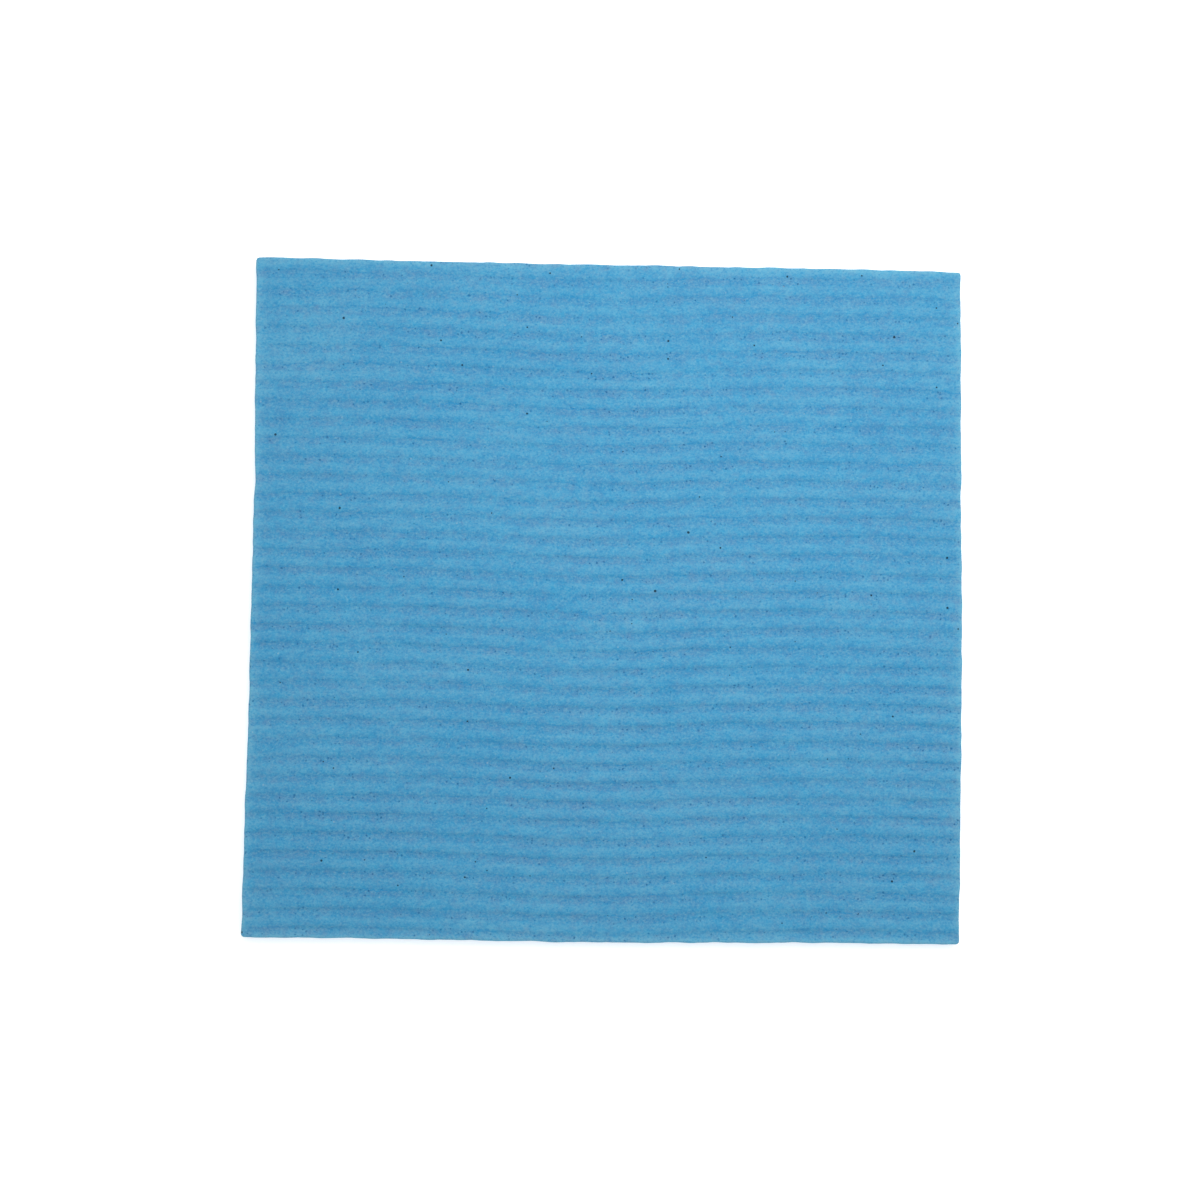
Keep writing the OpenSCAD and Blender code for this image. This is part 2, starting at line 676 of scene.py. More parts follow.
    def _turn(
        self,
        tree: Tree,
        given: bpy.types.NodeOutputs,
        place: Socket,
        axes: bpy.types.NodeOutputs,
    ) -> Socket:
        """Counts ribs across the sheet: whole numbers are crests, halves are grooves.

        Args:
            tree: The node tree.
            given: The tree's inputs.
            place: The points' places on the blank.
            axes: The same, axis by axis.

        Returns:
            The count, with the share of a pitch that a point is past a crest.
        """
        share = add(tree, "ShaderNodeMath", OVER, {0: axes[0], 1: given["Width"]}).outputs[0]
        along = add(tree, "ShaderNodeMath", PLUS, {0: share, 1: 0.5}).outputs[0]
        path = add(tree, "ShaderNodeFloatCurve", feeds={"Value": along})
        shape_curve(path, self.path)
        hang = add(
            tree, "ShaderNodeMath", TIMES, {0: path.outputs[0], 1: given["Sag"]}
        ).outputs[0]
        run, span = self.stray_size
        spread = add(
            tree, "ShaderNodeVectorMath", TIMES, {0: place, 1: (1 / run, 1 / span, 0.0)}
        ).outputs[0]
        noise = add(
            tree,
            "ShaderNodeTexNoise",
            {"noise_dimensions": "4D"},
            {"Vector": spread, "W": given["Seed"], "Scale": 1.0, "Detail": 2.0},
        ).outputs[0]
        stray = add(tree, "ShaderNodeMath", MINUS, {0: noise, 1: 0.5}).outputs[0]
        drift = add(
            tree, "ShaderNodeMath", TIMES_PLUS, {0: stray, 1: given["Wander"], 2: hang}
        ).outputs[0]
        start = add(tree, "ShaderNodeMath", PLUS, {0: drift, 1: given["Shift"]}).outputs[0]
        straight = add(tree, "ShaderNodeMath", MINUS, {0: axes[1], 1: start}).outputs[0]
        turn = add(tree, "ShaderNodeMath", OVER, {0: straight, 1: given["Pitch"]})
        return turn.outputs[0]

    def _rib_drop(
        self,
        tree: Tree,
        given: bpy.types.NodeOutputs,
        place: Socket,
        turn: Socket,
        weight: Socket,
    ) -> Socket:
        """Lowers the upper face between the crests, and less so beside the cut.

        Args:
            tree: The node tree.
            given: The tree's inputs.
            place: The points' places on the blank.
            turn: The count of ribs.
            weight: How far up the thickness a point is.

        Returns:
            How far each point goes down.
        """
        shifted = add(tree, "ShaderNodeMath", PLUS, {0: turn, 1: 0.5}).outputs[0]
        round_one = add(tree, "ShaderNodeMath", FRACTION, {0: shifted}).outputs[0]
        section = add(tree, "ShaderNodeFloatCurve", feeds={"Value": round_one})
        shape_curve(section, self.section)
        hollow = add(tree, "ShaderNodeMath", MINUS, {0: 1.0, 1: section.outputs[0]}).outputs[0]
        patches = add(
            tree,
            "ShaderNodeTexNoise",
            {"noise_dimensions": "4D"},
            {"Vector": place, "W": given["Seed"], "Scale": 1 / self.patch_size, "Detail": 2.0},
        ).outputs[0]
        fuller = add(
            tree,
            "ShaderNodeMapRange",
            feeds={
                "Value": patches,
                "From Min": self.patch_noise[0],
                "From Max": self.patch_noise[1],
                "To Min": self.patch_depth[0],
                "To Max": self.patch_depth[1],
            },
        ).outputs[0]
        drop = self._beside_cut(tree, self.press_mm, self.press_least, 1.0)
        for factor in (fuller, hollow, given["Depth"], weight):
            drop = add(tree, "ShaderNodeMath", TIMES, {0: drop, 1: factor}).outputs[0]
        return drop

    def _moves(
        self,
        tree: Tree,
        given: bpy.types.NodeOutputs,
        place: Socket,
        ribs: Socket,
        weight: Socket,
    ) -> Socket:
        """Adds up each point's move: ribs, lumps, the sheet's ripple and the cut's wobble.

        Args:
            tree: The node tree.
            given: The tree's inputs.
            place: The points' places on the blank.
            ribs: How far the ribs' section lowers a point.
            weight: How far up the thickness it is.

        Returns:
            The move, as a vector.
        """
        lumps, ripple, wobble = (
            add(
                tree,
                "ShaderNodeTexNoise",
                {"noise_dimensions": "4D"},
                {"Vector": place, "W": given["Seed"], "Scale": 1 / size, "Detail": detail},
            ).outputs
            for size, detail in (
                (self.lump_size, 2.0),
                (self.ripple_size, 1.0),
                (self.wobble_size, 2.0),
            )
        )
        height = add(tree, "ShaderNodeMath", MINUS, {0: lumps[0], 1: 0.5}).outputs[0]
        for factor in (given["Lumps"], weight):
            height = add(tree, "ShaderNodeMath", TIMES, {0: height, 1: factor}).outputs[0]
        lift = add(
            tree,
            "ShaderNodeMapRange",
            feeds={
                "Value": ripple[0],
                "From Min": self.ripple_noise[0],
                "From Max": self.ripple_noise[1],
                "To Min": 0.0,
                "To Max": given["Ripple"],
            },
        ).outputs[0]
        height = add(tree, "ShaderNodeMath", PLUS, {0: height, 1: lift}).outputs[0]
        height = add(tree, "ShaderNodeMath", MINUS, {0: height, 1: ribs}).outputs[0]
        move = add(
            tree, "ShaderNodeVectorMath", MINUS, {0: wobble["Color"], 1: (0.5, 0.5, 0.5)}
        ).outputs[0]
        near = self._beside_cut(tree, self.wobble_mm, given["Cut Wobble"], 0.0)
        move = add(
            tree, "ShaderNodeVectorMath", {"operation": "SCALE"}, {0: move, "Scale": near}
        ).outputs[0]
        flat = add(
            tree, "ShaderNodeVectorMath", TIMES, {0: move, 1: (1.0, 1.0, 0.0)}
        ).outputs[0]
        upright = add(tree, "ShaderNodeCombineXYZ", feeds={2: height}).outputs[0]
        return add(tree, "ShaderNodeVectorMath", PLUS, {0: flat, 1: upright}).outputs[0]

    @staticmethod
    def _beside_cut(tree: Tree, over_mm: float, at_cut: Feed, inside: float) -> Socket:
        """Eases from a value at the cut to another one further in.

        Args:
            tree: The node tree.
            over_mm: How far in from the cut the second value is reached.
            at_cut: The value at the cut.
            inside: The value from there inwards.

        Returns:
            The value at each point.
        """
        reach = add(
            tree,
            "GeometryNodeInputNamedAttribute",
            {"data_type": "FLOAT"},
            {"Name": Layer.CUT_REACH.value},
        ).outputs[0]
        eased = add(
            tree,
            "ShaderNodeMapRange",
            {"interpolation_type": "SMOOTHSTEP"},
            {
                "Value": reach,
                "From Min": 0.0,
                "From Max": over_mm,
                "To Min": at_cut,
                "To Max": inside,
            },
        )
        return eased.outputs[0]


@dataclass(frozen=True)
class Unevenness:
    """One size of unevenness in the sponge.

    Args:
        size_mm: How far apart its light and dark places are, across the ribs.
        seed: Its place in the noise, so that two layers differ.
        along: How fine it is along the ribs, against across them. Less than 1 draws the
            places out along the ribs.
        detail: How many finer sizes are in it.
        roughness: How strong each of those is against the size before it.
        strength: How much of it is added, where it's added to another value.
    """

    size_mm: float
    seed: float
    along: float = 0.8
    detail: float = 3.0
    roughness: float = 0.75
    strength: float = 1.0

    def over(self, tree: Tree, mm: Socket) -> Socket:
        """Lays the unevenness over the sponge.

        Args:
            tree: The material's tree.
            mm: Object coordinates in millimetres.

        Returns:
            A value round 0.
        """
        spread = add(
            tree, "ShaderNodeVectorMath", TIMES, {0: mm, 1: (self.along, 1.0, 1.0)}
        ).outputs[0]
        noise = add(
            tree,
            "ShaderNodeTexNoise",
            {"noise_dimensions": "4D"},
            {
                "Vector": spread,
                "W": self.seed,
                "Scale": 1 / self.size_mm,
                "Detail": self.detail,
                "Roughness": self.roughness,
            },
        ).outputs[0]
        return add(tree, "ShaderNodeMath", MINUS, {0: noise, 1: 0.5}).outputs[0]

    def added(self, tree: Tree, mm: Socket, value: Feed) -> Socket:
        """Adds the unevenness to another value.

        Args:
            tree: The material's tree.
            mm: Object coordinates in millimetres.
            value: The value that becomes uneven.

        Returns:
            The uneven value.
        """
        uneven = {0: self.over(tree, mm), 1: self.strength, 2: value}
        return add(tree, "ShaderNodeMath", TIMES_PLUS, uneven).outputs[0]

    def ranged(self, tree: Tree, mm: Socket, noise: Range, share: Range) -> Socket:
        """Turns the unevenness into a share, which holds at both ends of its range.

        Args:
            tree: The material's tree.
            mm: Object coordinates in millimetres.
            noise: The values round 0 at which the share is lowest and highest.
            share: The lowest and the highest share.

        Returns:
            The share at each point.
        """
        ranged = add(
            tree,
            "ShaderNodeMapRange",
            feeds={
                "Value": self.over(tree, mm),
                "From Min": noise[0],
                "From Max": noise[1],
                "To Min": share[0],
                "To Max": share[1],
            },
        )
        return ranged.outputs[0]


@dataclass(frozen=True)
class Spots:
    """Spots scattered through the sponge, one in each cell, most of them too small to see.

    Args:
        apart_mm: The mean distance between spots.
        largest_mm: The largest spot's radius.
        rarity: How few of the spots are large.
        fray_mm: How far the sponge's grain moves their outlines.
        stretch: How much closer together and flatter they are along each axis.
        shift_mm: Moves the whole pattern, so that no two kinds of spot coincide.
        soft_mm: Half the width over which a spot's edge fades.
    """

    apart_mm: float
    largest_mm: float
    rarity: float
    fray_mm: float
    stretch: Point3 = (1.0, 1.0, 1.0)
    shift_mm: float = 0.0
    soft_mm: float = 0.06

    def over(self, tree: Tree, mm: Socket, grain: Socket) -> Socket:
        """Says how far a point is in a spot.

        Args:
            tree: The material's tree.
            mm: Object coordinates in millimetres.
            grain: The fine unevenness, which frays the spots' outlines.

        Returns:
            The share of the spot's colour or depth at each point, from 0 to 1.
        """
        spread = add(
            tree,
            "ShaderNodeVectorMath",
            TIMES_PLUS,
            {0: mm, 1: self.stretch, 2: (self.shift_mm,) * 3},
        ).outputs[0]
        cells = add(
            tree,
            "ShaderNodeTexVoronoi",
            {"feature": "F1"},
            {"Vector": spread, "Scale": 1 / self.apart_mm, "Randomness": 1.0},
        ).outputs
        draw = add(tree, "ShaderNodeSeparateColor", feeds={0: cells["Color"]}).outputs[0]
        rare = add(
            tree, "ShaderNodeMath", {"operation": "POWER"}, {0: draw, 1: self.rarity}
        ).outputs[0]
        inside = add(tree, "ShaderNodeMath", TIMES, {0: rare, 1: self.largest_mm}).outputs[0]
        for layer, strength in ((cells["Distance"], -self.apart_mm), (grain, -self.fray_mm)):
            inside = add(
                tree, "ShaderNodeMath", TIMES_PLUS, {0: layer, 1: strength, 2: inside}
            ).outputs[0]
        edge = add(
            tree,
            "ShaderNodeMapRange",
            feeds={"Value": inside, "From Min": -self.soft_mm, "From Max": self.soft_mm},
        )
        return edge.outputs[0]


@dataclass(frozen=True)
class Wash:
    """A colour that is laid over the sponge as far as one of its layers shows.

    Args:
        colour: The sRGB hex colour.
        start: The layer's value at which the colour starts to show.
        end: The layer's value at which it is strongest.
        most: The share of it there.
        capped: Whether it stays at that share when the layer goes past the end.
    """

    colour: str
    start: float = 0.0
    end: float = 1.0
    most: float = 1.0
    capped: bool = True

    def over(self, tree: Tree, base: Socket, layer: Socket) -> Socket:
        """Lays the colour over another one.

        Args:
            tree: The material's tree.
            base: The colour below.
            layer: The value that says where the wash shows.

        Returns:
            The mixed colour.
        """
        share = add(
            tree,
            "ShaderNodeMapRange",
            {"clamp": self.capped},
            {"Value": layer, "From Min": self.start, "From Max": self.end, "To Max": self.most},
        ).outputs[0]
        # In a mix of colours, inputs 6 and 7 are the two colours and output 2 is theirs.
        mixed = add(
            tree,
            "ShaderNodeMix",
            {"data_type": "RGBA"},
            {"Factor": share, 6: base, 7: linear(self.colour)},
        )
        return mixed.outputs[2]


@dataclass(frozen=True)
class CelluloseSponge:
    """Dyed cellulose sponge: viscose foamed round salt grains, with short fibres in it.

    The eye gets a matt, slightly fuzzy blue. The cast skin on the crests is smooth and a
    little paler, and the same pale band paints a highlight on each rib's back flank, where
    the light falls. The grooves are full of pin holes that look greyer, and are a little
    darker by painted shade; the pin holes hold painted shade, and a thin broken line of
    painted shade runs along the foot of each rib.
    """

    # The dye, from its deepest to its palest place, and where most of the sheet lies.
    deep: str = "#2775a6"
    body: str = "#418bb3"
    pale: str = "#60a2bf"
    tone: float = 0.53
    # What shows over it: dye that took unevenly, fibres, pits, the skin with its painted
    # highlight, painted shade at the ribs' feet and in the pores, and the marks. The painted
    # shade at the ribs' feet isn't capped, so that it deepens where its stretch of the ribs
    # is strong.
    violet: Wash = Wash("#5b82a6", end=0.3, most=0.68)
    cyan: Wash = Wash("#2f94bd", end=-0.3, most=0.68)
    fibre: Wash = Wash("#6da4bb", end=0.35, most=0.9)
    pit: Wash = Wash("#1d75a8", start=-0.02, end=-0.3)
    # Partly the crests' paler skin, partly a painted highlight on each rib's lit back flank.
    skin_and_highlight: Wash = Wash("#6da4bb", most=0.16)
    # Painted shade: a thin broken dark line at the foot of each rib's front flank.
    rib_foot_shade: Wash = Wash("#007eb4", most=0.52, capped=False)
    # Painted shade inside the pin holes and the cut walls' open cells.
    pore_shade: Wash = Wash("#0b5587")
    fleck: Wash = Wash("#0c1f2d", most=0.88)
    pale_lint: Wash = Wash("#93afbd", most=0.4)

    # Real fibres and the finest pores are hundredths of a millimetre wide, too fine to
    # show, so the grain, the pin holes and the lint are drawn several times as coarse.
    grain: Unevenness = Unevenness(0.55, seed=1.0, detail=2.0, roughness=0.9)
    mottle: Unevenness = Unevenness(2.8, seed=2.0, along=0.7, roughness=0.8, strength=0.76)
    blotch: Unevenness = Unevenness(24.0, seed=3.0, detail=4.0, strength=0.6)
    streak: Unevenness = Unevenness(
        1.1, seed=4.0, along=0.13, detail=2.0, roughness=0.6, strength=0.5
    )
    tint: Unevenness = Unevenness(1.8, seed=5.0, roughness=0.8)
    shade: Unevenness = Unevenness(20.0, seed=8.0, strength=0.21)
    ragged: Unevenness = Unevenness(3.2, seed=6.0, along=0.7, strength=0.7)
    gaps: Unevenness = Unevenness(3.4, seed=7.0, along=0.4, detail=2.0, roughness=0.6)
    faint: Unevenness = Unevenness(11.0, seed=9.0, along=0.7, detail=2.0, roughness=0.7)
    pin_holes: Spots = Spots(0.95, largest_mm=0.3, rarity=2.4, fray_mm=0.5)
    large_cells: Spots = Spots(
        1.9, largest_mm=0.8, rarity=1.8, fray_mm=0.6, stretch=(0.8, 0.8, 1.5)
    )
    small_cells: Spots = Spots(
        0.6, largest_mm=0.27, rarity=1.6, fray_mm=0.45, stretch=(0.8, 0.8, 1.3)
    )
    flecks: Spots = Spots(
        2.9, largest_mm=0.37, rarity=6.0, fray_mm=0.2, shift_mm=170.0, soft_mm=0.045
    )
    lint: Spots = Spots(3.1, largest_mm=0.26, rarity=2.5, fray_mm=0.5)

    # The bands along the ribs: how far the grain frays them, the noise at which the
    # painted shade at a rib's foot breaks off and is whole, and how faint and how strong a
    # stretch of them gets.
    fray: float = 0.12
    gap_noise: Range = (-0.12, 0.14)
    faint_noise: Range = (-0.2, 0.2)
    faint_share: Range = (0.3, 1.4)
    # What a groove adds to the dye's tone, which is partly its greyer porous skin and partly
    # painted shade in the hollow, to its violet and to the grain's contrast.
    groove_tone_and_shade: float = -0.045
    groove_tint: float = 0.12
    groove_grain: float = 0.15
    # The haze of cut fibres: how far in it fades, and its strength on the face and walls.
    haze_mm: float = 1.1
    face_haze: float = 0.66
    wall_haze: float = 0.24
    # How strongly pin holes show, in painted shade and relief, on the skin, what a groove
    # adds, and the cut's cells.
    skin_pins: float = 0.15
    groove_pins: float = 0.46
    cell_strength: float = 0.6
    # The relief of the grain on the skin, what a groove adds, and the pores' depth.
    skin_relief: float = 0.7
    groove_relief: float = 0.6
    pore_relief: float = 2.4
    relief: float = 0.15 * MM
    relief_share: float = 0.4
    # Open fibres scatter almost all of the sheen that smooth cellulose has.
    roughness: float = 0.95
    specular_level: float = 0.2

    # Round one pitch, from a groove's middle to the next: how much of each band shows.
    groove_band: tuple[Point2, ...] = (
        (0.0, 1.0),
        (0.14, 1.0),
        (0.24, 0.45),
        (0.34, 0.0),
        (0.72, 0.0),
        (0.82, 0.7),
        (0.9, 1.0),
        (1.0, 1.0),
    )
    # The skin's band peaks on each rib's back flank, where it also paints the light that falls
    # there.
    skin_and_highlight_band: tuple[Point2, ...] = (
        (0.0, 0.0),
        (0.3, 0.0),
        (0.45, 0.25),
        (0.58, 0.55),
        (0.68, 1.0),
        (0.75, 0.7),
        (0.83, 0.0),
        (1.0, 0.0),
    )
    # Where the painted shade lies: at the foot of each rib's front flank.
    rib_foot_shade_band: tuple[Point2, ...] = (
        (0.0, 0.0),
        (0.14, 0.0),
        (0.17, 0.2),
        (0.20, 1.0),
        (0.23, 0.2),
        (0.26, 0.0),
        (1.0, 0.0),
    )

    def material(self) -> bpy.types.Material:
        """Builds the finish.

        Returns:
            The material, which reads object coordinates and the sheet's own layers.
        """
        material = bpy.data.materials.new("dyed_cellulose_sponge")
        tree = cleared(material)
        raw = add(tree, "ShaderNodeTexCoord").outputs["Object"]
        mm = add(
            tree, "ShaderNodeVectorMath", {"operation": "SCALE"}, {0: raw, "Scale": 1 / MM}
        ).outputs[0]
        grain = self.grain.over(tree, mm)
        groove, skin, rib_foot_shade = self._bands(tree, mm, grain)
        pores = self._pores(tree, mm, groove, grain)
        tint = self._tint(tree, mm, groove)
        contrast = add(
            tree, "ShaderNodeMath", TIMES_PLUS, {0: groove, 1: self.groove_grain, 2: 1.0}
        ).outputs[0]
        rougher = add(tree, "ShaderNodeMath", TIMES, {0: grain, 1: contrast}).outputs[0]
        colour = self._dye(tree, mm, groove)
        # The skin's wash is partly painted highlight; the washes at the ribs' feet and in the
        # pores are painted shade.
        for wash, layer in (
            (self.violet, tint),
            (self.cyan, tint),
            (self.fibre, rougher),
            (self.skin_and_highlight, skin),
            (self.pit, rougher),
            (self.rib_foot_shade, rib_foot_shade),
            (self.pore_shade, pores),
            (self.fleck, self.flecks.over(tree, mm, grain)),
            (self.pale_lint, self.lint.over(tree, mm, grain)),
        ):
            colour = wash.over(tree, colour, layer)
        surface = add(
            tree,
            "ShaderNodeBsdfPrincipled",
            feeds={
                "Base Color": colour,
                "Roughness": self.roughness,
                "Specular IOR Level": self.specular_level,
                "Normal": self._bump(tree, grain, groove, pores),
            },
        )
        add(tree, "ShaderNodeOutputMaterial", feeds={"Surface": surface.outputs[0]})
        return material

    def _bands(self, tree: Tree, mm: Socket, grain: Socket) -> tuple[Socket, Socket, Socket]:
        """Finds the grooves, the skin of the crests with its painted highlight, and the painted
        shade at the ribs' feet.

        Args:
            tree: The material's tree.
            mm: Object coordinates in millimetres.
            grain: The fine unevenness, which frays the bands' edges.

        Returns:
            How far a point is in a groove, on the skin and its painted highlight, and in the
            painted shade at a rib's foot, from 0 to the strongest stretch's share.
        """
        turn = add(tree, "ShaderNodeAttribute", {"attribute_name": Layer.RIB_TURN.value})
        face = add(tree, "ShaderNodeAttribute", {"attribute_name": Layer.RIBBED_FACE.value})
        strayed = self.ragged.added(tree, mm, turn.outputs["Fac"])
        strayed = add(
            tree, "ShaderNodeMath", TIMES_PLUS, {0: grain, 1: self.fray, 2: strayed}
        ).outputs[0]
        shifted = add(tree, "ShaderNodeMath", PLUS, {0: strayed, 1: 0.5}).outputs[0]
        place = add(tree, "ShaderNodeMath", FRACTION, {0: shifted}).outputs[0]
        whole = self.gaps.ranged(tree, mm, self.gap_noise, (0.0, 1.0))
        strong = self.faint.ranged(tree, mm, self.faint_noise, self.faint_share)
        strength = add(
            tree, "ShaderNodeMath", TIMES, {0: strong, 1: face.outputs["Fac"]}
        ).outputs[0]
        bands = []
        # The skin's band also paints a highlight on the back flank; the last band is painted
        # shade at the ribs' feet.
        for points, factors in (
            (self.groove_band, (strength,)),
            (self.skin_and_highlight_band, (strength,)),
            (self.rib_foot_shade_band, (whole, strength)),
        ):
            curve = add(tree, "ShaderNodeFloatCurve", feeds={"Value": place})
            shape_curve(curve, points)
            band = curve.outputs[0]
            for factor in factors:
                band = add(tree, "ShaderNodeMath", TIMES, {0: band, 1: factor}).outputs[0]
            bands.append(band)
        groove, skin, rib_foot_shade = bands
        return groove, skin, rib_foot_shade

    def _dye(self, tree: Tree, mm: Socket, groove: Socket) -> Socket:
        """Mixes the dye's tones, which are darker in grooves, partly by painted shade, and pale
        beside the cut.

        Args:
            tree: The material's tree.
            mm: Object coordinates in millimetres.
            groove: How far a point is in a groove.

        Returns:
            The dye's colour.
        """
        tone: Feed = self.tone
        for layer in (self.mottle, self.blotch, self.streak):
            tone = layer.added(tree, mm, tone)
        # Grooves darken the tone: partly their greyer porous skin, partly painted shade.
        tone = add(
            tree, "ShaderNodeMath", TIMES_PLUS, {0: groove, 1: self.groove_tone_and_shade, 2: tone}
        ).outputs[0]
        ramp = add(tree, "ShaderNodeValToRGB", feeds={0: self._rim_haze(tree, tone)})
        stops = ramp.color_ramp.elements
        stops[0].color, stops[1].color = linear(self.deep), linear(self.pale)
        stops.new(0.5).color = linear(self.body)
        return ramp.outputs[0]

    def _tint(self, tree: Tree, mm: Socket, groove: Socket) -> Socket:
        """Finds where the dye leans to violet, as it does in grooves, or to cyan.

        Args:
            tree: The material's tree.
            mm: Object coordinates in millimetres.
            groove: How far a point is in a groove.

        Returns:
            A value round 0, above it towards violet and below it towards cyan.
        """
        tint = self.tint.over(tree, mm)
        tint = add(
            tree, "ShaderNodeMath", TIMES_PLUS, {0: groove, 1: self.groove_tint, 2: tint}
        ).outputs[0]
        return self.shade.added(tree, mm, tint)

    def _rim_haze(self, tree: Tree, tone: Socket) -> Socket:
        """Pales the last millimetre or two, where cut fibres stand up and hold light.

        Args:
            tree: The material's tree.
            tone: The dye's tone, from deep to pale.

        Returns:
            The tone with the haze.
        """
        reach = add(tree, "ShaderNodeAttribute", {"attribute_name": Layer.CUT_REACH.value})
        wall = add(tree, "ShaderNodeAttribute", {"attribute_name": Layer.CUT_WALL.value})
        near = add(
            tree, "ShaderNodeMath", TIMES, {0: reach.outputs["Fac"], 1: -1 / self.haze_mm}
        ).outputs[0]
        fade = add(tree, "ShaderNodeMath", {"operation": "EXPONENT"}, {0: near}).outputs[0]
        less = self.wall_haze - self.face_haze
        haze = add(
            tree,
            "ShaderNodeMath",
            TIMES_PLUS,
            {0: wall.outputs["Fac"], 1: less, 2: self.face_haze},
        ).outputs[0]
        return add(tree, "ShaderNodeMath", TIMES_PLUS, {0: fade, 1: haze, 2: tone}).outputs[0]

    def _pores(self, tree: Tree, mm: Socket, groove: Socket, grain: Socket) -> Socket:
        """Opens pin holes in the skin, more so in grooves, and larger cells in the cut.

        Args:
            tree: The material's tree.
            mm: Object coordinates in millimetres.
            groove: How far a point is in a groove.
            grain: The fine unevenness.

        Returns:
            How far each point is in a pin hole or an open cell, from 0 to 1.
        """
        wall = add(tree, "ShaderNodeAttribute", {"attribute_name": Layer.CUT_WALL.value})
        pins, large, small = (
            spots.over(tree, mm, grain)
            for spots in (self.pin_holes, self.large_cells, self.small_cells)
        )
        share = add(
            tree,
            "ShaderNodeMath",
            TIMES_PLUS,
            {0: groove, 1: self.groove_pins, 2: self.skin_pins},
        ).outputs[0]
        pins = add(tree, "ShaderNodeMath", TIMES, {0: pins, 1: share}).outputs[0]
        cells = add(tree, "ShaderNodeMath", LARGER, {0: large, 1: small}).outputs[0]
        shown = add(
            tree, "ShaderNodeMath", TIMES, {0: wall.outputs["Fac"], 1: self.cell_strength}
        ).outputs[0]
        cells = add(tree, "ShaderNodeMath", TIMES, {0: cells, 1: shown}).outputs[0]
        return add(tree, "ShaderNodeMath", LARGER, {0: pins, 1: cells}).outputs[0]

    def _bump(self, tree: Tree, grain: Socket, groove: Socket, pores: Socket) -> Socket:
        """Roughens the skin: grain everywhere, more of it in grooves, and sunken pores.

        Args:
            tree: The material's tree.
            grain: The fine unevenness.
            groove: How far a point is in a groove.
            pores: How far a point is in a pin hole or an open cell.

        Returns:
            The bumped normal.
        """
        height = add(
            tree,
            "ShaderNodeMath",
            TIMES_PLUS,
            {0: groove, 1: self.groove_relief, 2: self.skin_relief},
        ).outputs[0]
        height = add(tree, "ShaderNodeMath", TIMES, {0: grain, 1: height}).outputs[0]
        height = add(
            tree, "ShaderNodeMath", TIMES_PLUS, {0: pores, 1: -self.pore_relief, 2: height}
        ).outputs[0]
        bump = add(
            tree,
            "ShaderNodeBump",
            feeds={"Strength": self.relief_share, "Distance": self.relief, "Height": height},
        )
        return bump.outputs[0]


@dataclass
class SpongeCloth:
    """The sheet: its blank, its ribs and its finish, in the place of its CAD node.

    Args:
        node: The CAD node that the sheet stands for.
        slot: The node's material slot. Not used.
    """

    node: str = "sponge_cloth"
    slot: str = "cellulose_sponge"

    def build(self) -> bpy.types.Object:
        """Makes the sheet at the CAD node's size and dresses it.

        Returns:
            The sheet's object, with a plain mesh.
        """
        low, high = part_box(self.node)
        width, length, thickness = high - low
        blank = Blank(Outline(width, length), thickness)
        sheet = bpy.data.objects.new("sponge_cloth_sheet", blank.mesh())
        bpy.context.scene.collection.objects.link(sheet)
        ribs = CastRibs(width, thickness)
        sheet.data = ribs.raised(sheet, CelluloseSponge().material())
        return sheet

    def declare(self, sheet: bpy.types.Object) -> None:
        """Hangs the sheet on the root body, and hides the CAD node that it stands for.

        Args:
            sheet: The finished sheet.
        """
        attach(sheet, "root")
        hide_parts(self.node)


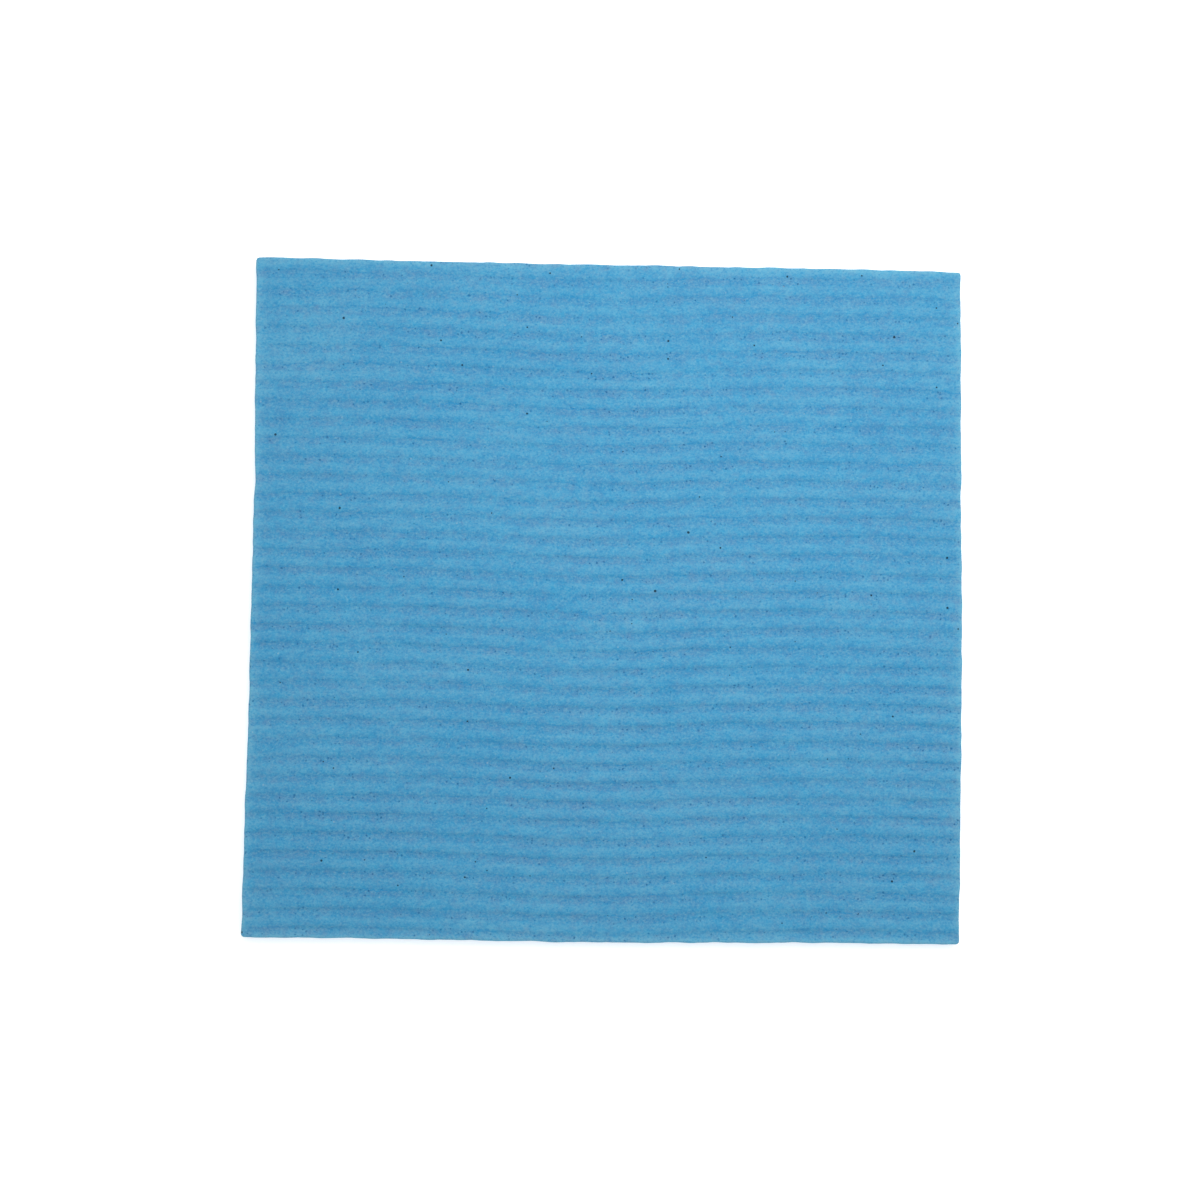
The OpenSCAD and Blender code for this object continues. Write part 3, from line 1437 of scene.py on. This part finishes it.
@dataclass
class Studio:
    """A plain pale floor and backdrop, soft light from behind, and a camera looking down.

    Args:
        floor_radius: The radius of the floor and the backdrop, in metres.
        floor_sides: How many sides both have.
        floor_colour: The floor's sRGB hex colour.
        floor_glow: How strongly the floor is lit from below.
        backdrop_height: The backdrop's height, in metres.
        white: The colour of the backdrop and of the light.
        sky: The strength of the even light.
        panel_size: The width of the square soft panel, in metres.
        panel_power: Its power, in watts.
        panel_place: Where it hangs, facing the sheet's middle.
        lens_mm: The camera's focal length.
        sensor_mm: The width of its sensor.
        tilt_deg: How far it leans round the ribs' direction.
        sway_deg: How far it leans round the direction across them.
        roll_deg: How far it is turned round its own axis.
        view_mm: The sheet's middle from the camera: to the right, up and away.
        face_height: The height over the floor of the face that it looks at.
    """

    floor_radius: float = 2.0
    floor_sides: int = 64
    floor_colour: str = "#f9f9f9"
    floor_glow: float = 0.42
    backdrop_height: float = 4.0
    white: str = "#ffffff"
    sky: float = 0.71
    panel_size: float = 0.26
    panel_power: float = 0.79
    panel_place: Point3 = (0.057, 0.112, 0.3)
    lens_mm: float = 72.0
    sensor_mm: float = 36.0
    tilt_deg: float = -4.2135
    sway_deg: float = 2.2473
    roll_deg: float = -0.7144
    view_mm: Point3 = (1.94, 0.03, 638.9)
    face_height: float = 4.4 * MM

    def floor(self) -> None:
        """Lays a pale floor, lit a little from below, which thins the sheet's shadow."""
        paint = bpy.data.materials.new("floor_paint")
        tree = cleared(paint)
        matt = add(tree, "ShaderNodeBsdfDiffuse", feeds={"Color": linear(self.floor_colour)})
        glow = add(
            tree,
            "ShaderNodeEmission",
            feeds={"Color": linear(self.white), "Strength": self.floor_glow},
        )
        lit = add(
            tree, "ShaderNodeAddShader", feeds={0: matt.outputs[0], 1: glow.outputs[0]}
        )
        add(tree, "ShaderNodeOutputMaterial", feeds={"Surface": lit.outputs[0]})
        self._stand("floor", self._ring(0.0), [tuple(range(self.floor_sides))], paint)

    def backdrop(self) -> None:
        """Hangs a white backdrop at the floor's edge, which only the camera sees."""
        paint = bpy.data.materials.new("backdrop_paper")
        tree = cleared(paint)
        glow = add(tree, "ShaderNodeEmission", feeds={"Color": linear(self.white)})
        add(tree, "ShaderNodeOutputMaterial", feeds={"Surface": glow.outputs[0]})
        sides = self.floor_sides
        panes = [
            (k, (k + 1) % sides, sides + (k + 1) % sides, sides + k) for k in range(sides)
        ]
        rings = self._ring(0.0) + self._ring(self.backdrop_height)
        backdrop = self._stand("backdrop", rings, panes, paint)
        backdrop.visible_diffuse = False
        backdrop.visible_glossy = False
        backdrop.visible_shadow = False

    def _ring(self, height: float) -> list[Point3]:
        """Gives the corners of the floor's round edge.

        Args:
            height: Their height over the floor, in metres.

        Returns:
            The corners, in metres.
        """
        steps = [2 * math.pi * k / self.floor_sides for k in range(self.floor_sides)]
        radius = self.floor_radius
        return [(radius * math.cos(a), radius * math.sin(a), height) for a in steps]

    @staticmethod
    def _stand(
        name: str,
        points: list[Point3],
        faces: list[tuple[int, ...]],
        paint: bpy.types.Material,
    ) -> bpy.types.Object:
        """Sets up a piece of the studio. It glows, but isn't sampled as a lamp.

        Args:
            name: The piece's name.
            points: Its mesh's points.
            faces: Its mesh's faces.
            paint: Its material.

        Returns:
            The piece.
        """
        mesh = bpy.data.meshes.new(name)
        mesh.from_pydata(points, [], faces)
        mesh.materials.append(paint)
        paint.cycles.emission_sampling = "NONE"
        piece = bpy.data.objects.new(name, mesh)
        bpy.context.scene.collection.objects.link(piece)
        return piece

    def light(self) -> None:
        """Sets an even sky and one soft panel near the sheet's back edge."""
        world = bpy.data.worlds.new("studio")
        tree = cleared(world)
        sky = add(
            tree,
            "ShaderNodeBackground",
            feeds={"Color": linear(self.white), "Strength": self.sky},
        )
        add(tree, "ShaderNodeOutputWorld", feeds={"Surface": sky.outputs[0]})
        bpy.context.scene.world = world
        panel = bpy.data.lights.new("panel", "AREA")
        panel.size = self.panel_size
        panel.energy = self.panel_power
        lamp = bpy.data.objects.new("panel", panel)
        bpy.context.scene.collection.objects.link(lamp)
        lamp.location = self.panel_place
        lamp.rotation_euler = (-lamp.location).to_track_quat("-Z", "Y").to_euler()
        lamp.visible_camera = False

    def camera(self) -> None:
        """Hangs the camera over the sheet, a few degrees off upright."""
        to_camera = Matrix.Identity(4)
        for degrees, axis in (
            (self.tilt_deg, "X"),
            (self.sway_deg, "Y"),
            (self.roll_deg, "Z"),
        ):
            to_camera = to_camera @ Matrix.Rotation(math.radians(degrees), 4, axis)
        right, up, away = (value * MM for value in self.view_mm)
        to_sheet = to_camera.transposed()
        data = bpy.data.cameras.new("camera")
        data.lens = self.lens_mm
        data.sensor_width = self.sensor_mm
        camera = bpy.data.objects.new("camera", data)
        bpy.context.scene.collection.objects.link(camera)
        eye = to_sheet @ Vector((-right, -up, away)) + Vector((0, 0, self.face_height))
        camera.matrix_world = Matrix.Translation(eye) @ to_sheet
        bpy.context.scene.camera = camera
        bpy.context.scene.view_settings.view_transform = "Standard"


def main() -> None:
    """Builds the studio and the sheet, and reports the piece."""
    studio = Studio()
    studio.camera()
    studio.floor()
    studio.backdrop()
    studio.light()
    cloth = SpongeCloth()
    sheet = cloth.build()
    cloth.declare(sheet)
    faces = len(sheet.data.polygons)
    sheet.data.calc_loop_triangles()
    LOG.info("%s: %d faces, %d triangles", sheet.name, faces, len(sheet.data.loop_triangles))


if __name__ == "__main__":
    logging.basicConfig(level=logging.INFO, format="%(name)s %(message)s")
    main()
